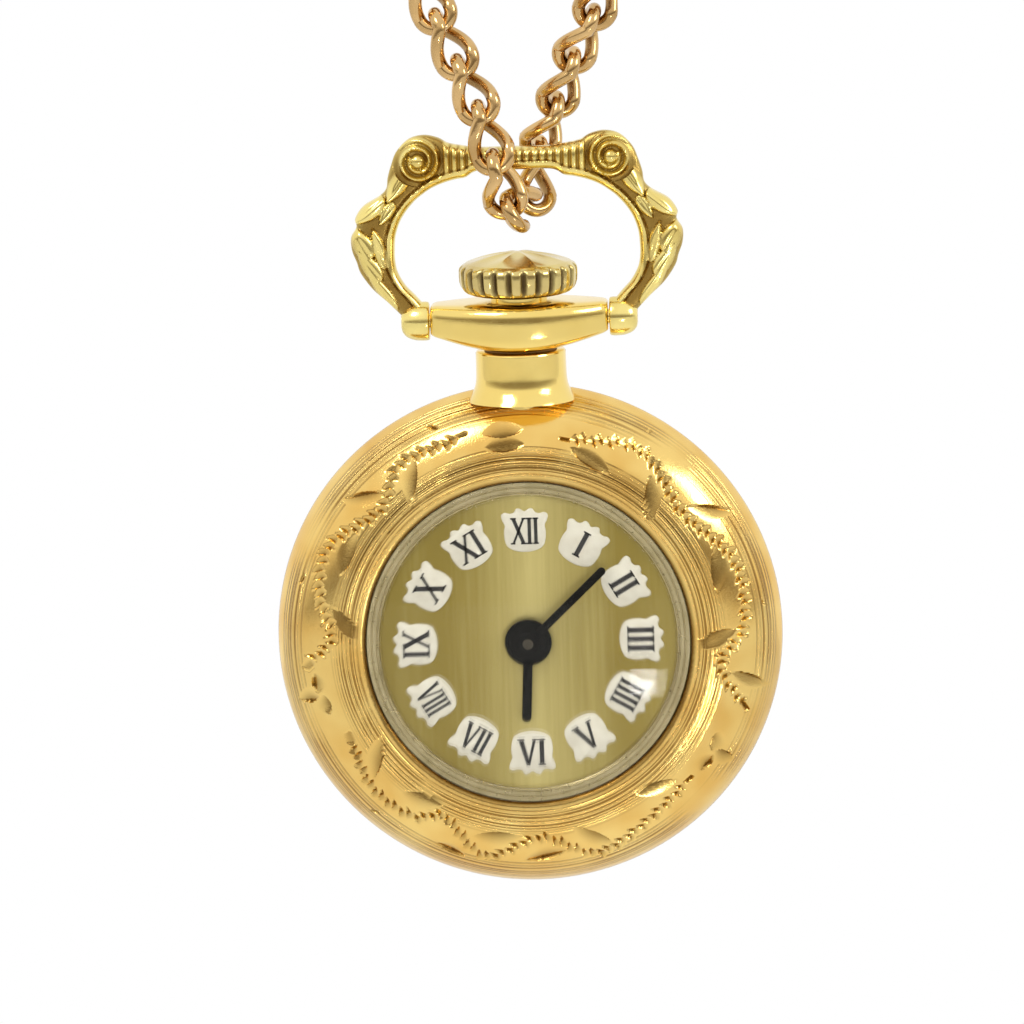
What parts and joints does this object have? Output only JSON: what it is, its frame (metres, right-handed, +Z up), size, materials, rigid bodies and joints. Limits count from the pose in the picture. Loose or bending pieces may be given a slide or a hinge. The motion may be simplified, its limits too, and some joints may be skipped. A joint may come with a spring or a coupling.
{
  "type": "pendant watch",
  "caption": "Round pendant watch with an engraved case, an ornate bow, a crown at twelve and a hand-wound movement, on a length of twisted-link chain.",
  "frame": {"origin": "midway between the end rings' wires that the chain hangs from, over the middle of the case", "axes": "+Z up along the chain and the winding stem, the dial faces -Y, +X to the right of one who looks at the dial"},
  "size_m": [0.027, 0.0071, 0.0516],
  "materials": {
    "yellow_gold": "polished gold plate",
    "crown_gold": "polished gold plate, darker",
    "rose_gold": "polished rose gold",
    "acrylic": "clear acrylic",
    "champagne_dial": "satin champagne",
    "reflector": "satin gilt",
    "black_hands": "gloss black",
    "plate_nickel": "nickel-plated brass, fine grain",
    "ring_brass": "plain brass",
    "gilt_brass": "gilt brass",
    "steel": "polished steel",
    "screw_steel": "polished steel",
    "ruby": "polished synthetic ruby",
    "setting_brass": "gilt"
  },
  "bodies": {
    "end_rings": {"chain_end_rings": "rose_gold"},
    "chain": {"chain_left_leg": "rose_gold", "chain_bight": "rose_gold", "chain_right_leg": "rose_gold"},
    "bow": {"bow": "yellow_gold", "bow_pins": "yellow_gold"},
    "case": {"pendant_yoke": "yellow_gold", "pendant_tube": "yellow_gold", "case_front": "yellow_gold", "case_back": "yellow_gold", "crystal": "acrylic", "reflector_ring": "reflector", "dial": "champagne_dial", "movement_ring": "ring_brass", "main_plate": "plate_nickel", "barrel_bridge": "plate_nickel", "train_bridge": "plate_nickel", "balance_cock": "plate_nickel", "pallet_cock": "plate_nickel", "setting_bridge": "plate_nickel", "bridge_screws": "screw_steel", "plate_jewels": "ruby", "bridge_jewels": "ruby", "shock_setting": "setting_brass", "crown_wheel_screw": "screw_steel", "click_screw": "screw_steel", "click_spring": "steel", "hairspring": "steel"},
    "winding_pinion": {"winding_pinion": "steel"},
    "crown": {"crown": "crown_gold", "winding_stem": "steel"},
    "clutch": {"clutch": "steel"},
    "setting_lever": {"setting_lever": "steel"},
    "clutch_lever": {"clutch_lever": "steel"},
    "crown_wheel": {"crown_wheel": "steel"},
    "ratchet_wheel": {"ratchet_wheel": "steel", "ratchet_screw": "screw_steel", "barrel_arbor": "steel"},
    "click": {"click": "steel"},
    "minute_hand": {"minute_hand": "black_hands", "cannon_pinion": "steel"},
    "minute_wheel": {"minute_wheel": "gilt_brass"},
    "hour_hand": {"hour_hand": "black_hands", "hour_wheel": "gilt_brass"},
    "setting_wheel": {"setting_wheel": "steel"},
    "centre_wheel": {"centre_wheel": "gilt_brass"},
    "barrel": {"barrel": "gilt_brass", "barrel_cover": "gilt_brass", "mainspring": "steel"},
    "third_wheel": {"third_wheel": "gilt_brass"},
    "fourth_wheel": {"fourth_wheel": "gilt_brass"},
    "escape_wheel": {"escape_wheel": "steel"},
    "pallet_fork": {"pallet_fork": "steel"},
    "balance": {"balance_wheel": "gilt_brass"},
    "regulator": {"regulator": "steel"}
  },
  "joints": [
    {"name": "chain_swing", "type": "hinge", "parent": "end_rings", "child": "chain", "pos_m": [0, 0, 0], "axis": [1, 0, 0], "range_deg": [-30, 30]},
    {"name": "bow_tilt", "type": "hinge", "parent": "chain", "child": "bow", "pos_m": [0, 0, -0.00945], "axis": [0, 1, 0], "range_deg": [-10, 10]},
    {"name": "bow_hinge", "type": "hinge", "parent": "bow", "child": "case", "pos_m": [0, 0, -0.01805], "axis": [1, 0, 0], "range_deg": [-90, 90]},
    {"name": "crown_turn", "type": "hinge", "parent": "case", "child": "winding_pinion", "pos_m": [0, 0, -0.0289], "axis": [0, 0, 1], "continuous": true},
    {"name": "crown_pull", "type": "slide", "parent": "winding_pinion", "child": "crown", "axis": [0, 0, 1], "range_m": [0, 0.0005]},
    {"name": "clutch_slide", "type": "slide", "parent": "winding_pinion", "child": "clutch", "axis": [0, 0, 1], "range_m": [-0.0005, 0]},
    {"name": "setting_lever_pivot", "type": "hinge", "parent": "case", "child": "setting_lever", "pos_m": [0.0023, 0, -0.0282], "axis": [0, 1, 0], "range_deg": [0, 15]},
    {"name": "clutch_lever_pivot", "type": "hinge", "parent": "case", "child": "clutch_lever", "pos_m": [-0.00295, 0, -0.0302], "axis": [0, 1, 0], "range_deg": [0, 13]},
    {"name": "crown_wheel_turn", "type": "hinge", "parent": "case", "child": "crown_wheel", "pos_m": [0, 0, -0.0307], "axis": [0, 1, 0], "continuous": true},
    {"name": "ratchet_turn", "type": "hinge", "parent": "case", "child": "ratchet_wheel", "pos_m": [-0.00381, 0, -0.03333], "axis": [0, 1, 0], "continuous": true},
    {"name": "click_pivot", "type": "hinge", "parent": "case", "child": "click", "pos_m": [-0.00645, 0, -0.03065], "axis": [0, 1, 0], "range_deg": [-12, 0]},
    {"name": "minute_hand_turn", "type": "hinge", "parent": "case", "child": "minute_hand", "pos_m": [0, 0, -0.0351], "axis": [0, 1, 0], "continuous": true},
    {"name": "minute_wheel_turn", "type": "hinge", "parent": "case", "child": "minute_wheel", "pos_m": [0.00143, 0, -0.0337], "axis": [0, 1, 0], "continuous": true},
    {"name": "hour_hand_turn", "type": "hinge", "parent": "case", "child": "hour_hand", "pos_m": [0, 0, -0.0351], "axis": [0, 1, 0], "continuous": true},
    {"name": "setting_wheel_turn", "type": "hinge", "parent": "case", "child": "setting_wheel", "pos_m": [0, 0, -0.0319], "axis": [0, 1, 0], "continuous": true},
    {"name": "centre_wheel_turn", "type": "hinge", "parent": "case", "child": "centre_wheel", "pos_m": [0, 0, -0.0351], "axis": [0, 1, 0], "continuous": true},
    {"name": "barrel_turn", "type": "hinge", "parent": "case", "child": "barrel", "pos_m": [-0.00381, 0, -0.03333], "axis": [0, 1, 0], "continuous": true},
    {"name": "third_wheel_turn", "type": "hinge", "parent": "case", "child": "third_wheel", "pos_m": [0.00277, 0, -0.03616], "axis": [0, 1, 0], "continuous": true},
    {"name": "fourth_wheel_turn", "type": "hinge", "parent": "case", "child": "fourth_wheel", "pos_m": [0.00261, 0, -0.03845], "axis": [0, 1, 0], "continuous": true},
    {"name": "escape_wheel_turn", "type": "hinge", "parent": "case", "child": "escape_wheel", "pos_m": [0.00101, 0, -0.04012], "axis": [0, 1, 0], "continuous": true},
    {"name": "pallet_fork_rock", "type": "hinge", "parent": "case", "child": "pallet_fork", "pos_m": [-0.00064, 0, -0.04006], "axis": [0, 1, 0], "range_deg": [-5, 5]},
    {"name": "balance_swing", "type": "hinge", "parent": "case", "child": "balance", "pos_m": [-0.00289, 0, -0.04002], "axis": [0, 1, 0], "range_deg": [-270, 270], "stiffness_Nm_per_rad": 0.000000015},
    {"name": "regulator_shift", "type": "hinge", "parent": "case", "child": "regulator", "pos_m": [-0.00289, 0, -0.04002], "axis": [0, 1, 0], "range_deg": [-20, 20]}
  ],
  "couplings": [
    {"joint": "clutch_slide", "follows": "crown_pull", "ratio": -1},
    {"joint": "setting_lever_pivot", "follows": "crown_pull", "rad_per_m": 515},
    {"joint": "clutch_lever_pivot", "follows": "crown_pull", "rad_per_m": 446},
    {"joint": "crown_wheel_turn", "follows": "crown_turn", "ratio": -0.5},
    {"joint": "ratchet_turn", "follows": "crown_turn", "ratio": 0.33333},
    {"joint": "minute_wheel_turn", "follows": "minute_hand_turn", "ratio": -0.33333},
    {"joint": "hour_hand_turn", "follows": "minute_hand_turn", "ratio": 0.083333},
    {"joint": "setting_wheel_turn", "follows": "minute_hand_turn", "ratio": 0.625},
    {"joint": "centre_wheel_turn", "follows": "minute_hand_turn", "ratio": 1},
    {"joint": "barrel_turn", "follows": "minute_hand_turn", "ratio": -0.16667},
    {"joint": "third_wheel_turn", "follows": "minute_hand_turn", "ratio": -8},
    {"joint": "fourth_wheel_turn", "follows": "minute_hand_turn", "ratio": 60},
    {"joint": "escape_wheel_turn", "follows": "minute_hand_turn", "ratio": -600}
  ]
}
